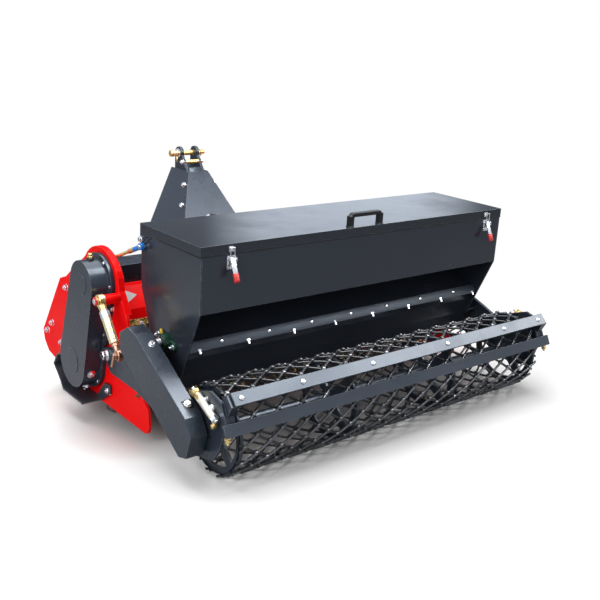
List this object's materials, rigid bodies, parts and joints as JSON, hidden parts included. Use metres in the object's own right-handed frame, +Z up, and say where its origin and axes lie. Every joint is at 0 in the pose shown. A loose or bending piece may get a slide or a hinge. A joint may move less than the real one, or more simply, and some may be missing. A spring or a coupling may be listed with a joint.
{
  "type": "stone burier",
  "caption": "Tractor-carried stone burier: rotor under a hood, hopper with lid behind, mesh packer roller on arms, chain case, three-point hitch and input shaft.",
  "frame": {"origin": "on the ground under the middle of the bounding box", "axes": "+X to the machine's right, +Y in the travel direction, towards the tractor, +Z up, as it parks on its tines and roller"},
  "size_m": [1.428, 1.258, 0.7861],
  "materials": {
    "red": "gloss",
    "anthracite": "semi-gloss",
    "zinc_gold": "satin",
    "steel": "satin",
    "guard_plastic": "matte",
    "cast_green": "satin",
    "blue_paint": "gloss"
  },
  "bodies": {
    "tiller": {"chain_case": "anthracite", "comb": "zinc_gold", "frame_pins": "steel", "gearbox": "anthracite", "hitch_beam": "anthracite", "hitch_pins": "steel", "hitch_rails": "anthracite", "main_beam": "anthracite", "mast_cover": "anthracite", "mast_legs": "anthracite", "pto_guard": "guard_plastic", "rotor_bearing": "cast_green", "rotor_hood": "red", "side_plates": "red", "skids": "anthracite", "stay_pins": "steel"},
    "rotor": {"rotor_flanges": "anthracite", "rotor_shaft": "anthracite", "rotor_tines": "anthracite"},
    "pto": {"pto_shaft": "steel"},
    "roller": {"roller_cage": "anthracite", "roller_discs": "anthracite", "roller_shaft": "anthracite"},
    "seed_drive": {"metering_shaft": "steel"},
    "lid": {"latch_catches": "steel", "lid": "anthracite", "lid_handle": "guard_plastic"},
    "roller_frame": {"drive_cover": "anthracite", "end_brackets": "anthracite", "flange_bearings": "cast_green", "hopper_ends": "anthracite", "hopper_front_wall": "anthracite", "hopper_rear_wall": "anthracite", "latches": "steel", "link_pins": "steel", "metering_floor": "anthracite", "metering_strip": "anthracite", "roller_arms": "anthracite", "scraper_adjusters": "zinc_gold", "scraper_bar": "anthracite", "upper_bar": "anthracite"},
    "turnbuckle_left": {"turnbuckle_sleeve_left": "zinc_gold"},
    "turnbuckle_end_left": {"turnbuckle_rod_left": "zinc_gold"},
    "stay_left": {"stay_sleeve_left": "blue_paint"},
    "stay_end_left": {"stay_rod_left": "zinc_gold"},
    "turnbuckle_right": {"turnbuckle_sleeve_right": "zinc_gold"},
    "turnbuckle_end_right": {"turnbuckle_rod_right": "zinc_gold"},
    "stay_right": {"stay_sleeve_right": "blue_paint"},
    "stay_end_right": {"stay_rod_right": "zinc_gold"}
  },
  "joints": [
    {"name": "rotor_spin", "type": "hinge", "parent": "tiller", "child": "rotor", "pos_m": [0, 0.12799, 0.19], "axis": [1, 0, 0], "continuous": true},
    {"name": "pto_spin", "type": "hinge", "parent": "tiller", "child": "pto", "pos_m": [0, 0.27107, 0.48657], "axis": [0, 0.9957, 0.0929], "continuous": true},
    {"name": "roller_frame_hinge", "type": "hinge", "parent": "tiller", "child": "roller_frame", "pos_m": [0, -0.0013, 0.23017], "axis": [-1, 0, 0], "range_deg": [-4, 8]},
    {"name": "roller_spin", "type": "hinge", "parent": "roller_frame", "child": "roller", "pos_m": [0, -0.48815, 0.13053], "axis": [1, 0, 0], "continuous": true},
    {"name": "seed_shaft_spin", "type": "hinge", "parent": "roller_frame", "child": "seed_drive", "pos_m": [0, -0.2609, 0.32146], "axis": [1, 0, 0], "continuous": true},
    {"name": "lid_hinge", "type": "hinge", "parent": "roller_frame", "child": "lid", "pos_m": [0, -0.14001, 0.58683], "axis": [-1, 0, 0], "range_deg": [0, 95]},
    {"name": "turnbuckle_swing_left", "type": "hinge", "parent": "tiller", "child": "turnbuckle_left", "pos_m": [-0.694, -0.06953, 0.41262], "axis": [-1, 0, 0], "range_deg": [-1.31, 2.57]},
    {"name": "turnbuckle_screw_left", "type": "slide", "parent": "turnbuckle_left", "child": "turnbuckle_end_left", "axis": [0, -0.5611, -0.8278], "range_m": [-0.02284, 0.01165]},
    {"name": "stay_swing_left", "type": "hinge", "parent": "roller_frame", "child": "stay_left", "pos_m": [-0.607, -0.16053, 0.56985], "axis": [-1, 0, 0], "range_deg": [-2.03, 3.98]},
    {"name": "stay_slide_left", "type": "slide", "parent": "stay_left", "child": "stay_end_left", "axis": [0, 0.9496, -0.3134], "range_m": [-0.03804, 0.0194]},
    {"name": "turnbuckle_swing_right", "type": "hinge", "parent": "tiller", "child": "turnbuckle_right", "pos_m": [0.694, -0.06953, 0.41262], "axis": [-1, 0, 0], "range_deg": [-1.31, 2.57]},
    {"name": "turnbuckle_screw_right", "type": "slide", "parent": "turnbuckle_right", "child": "turnbuckle_end_right", "axis": [0, -0.5611, -0.8278], "range_m": [-0.02284, 0.01165]},
    {"name": "stay_swing_right", "type": "hinge", "parent": "roller_frame", "child": "stay_right", "pos_m": [0.607, -0.16053, 0.56985], "axis": [-1, 0, 0], "range_deg": [-2.03, 3.98]},
    {"name": "stay_slide_right", "type": "slide", "parent": "stay_right", "child": "stay_end_right", "axis": [0, 0.9496, -0.3134], "range_m": [-0.03804, 0.0194]}
  ],
  "couplings": [
    {"joint": "pto_spin", "follows": "rotor_spin", "ratio": 2.45},
    {"joint": "seed_shaft_spin", "follows": "roller_spin", "ratio": 1},
    {"joint": "turnbuckle_swing_left", "follows": "roller_frame_hinge", "ratio": 0.31416},
    {"joint": "turnbuckle_screw_left", "follows": "roller_frame_hinge", "m_per_rad": -0.16039},
    {"joint": "stay_swing_left", "follows": "roller_frame_hinge", "ratio": 0.48681},
    {"joint": "stay_slide_left", "follows": "roller_frame_hinge", "m_per_rad": -0.26713},
    {"joint": "turnbuckle_swing_right", "follows": "roller_frame_hinge", "ratio": 0.31416},
    {"joint": "turnbuckle_screw_right", "follows": "roller_frame_hinge", "m_per_rad": -0.16039},
    {"joint": "stay_swing_right", "follows": "roller_frame_hinge", "ratio": 0.48681},
    {"joint": "stay_slide_right", "follows": "roller_frame_hinge", "m_per_rad": -0.26713}
  ]
}
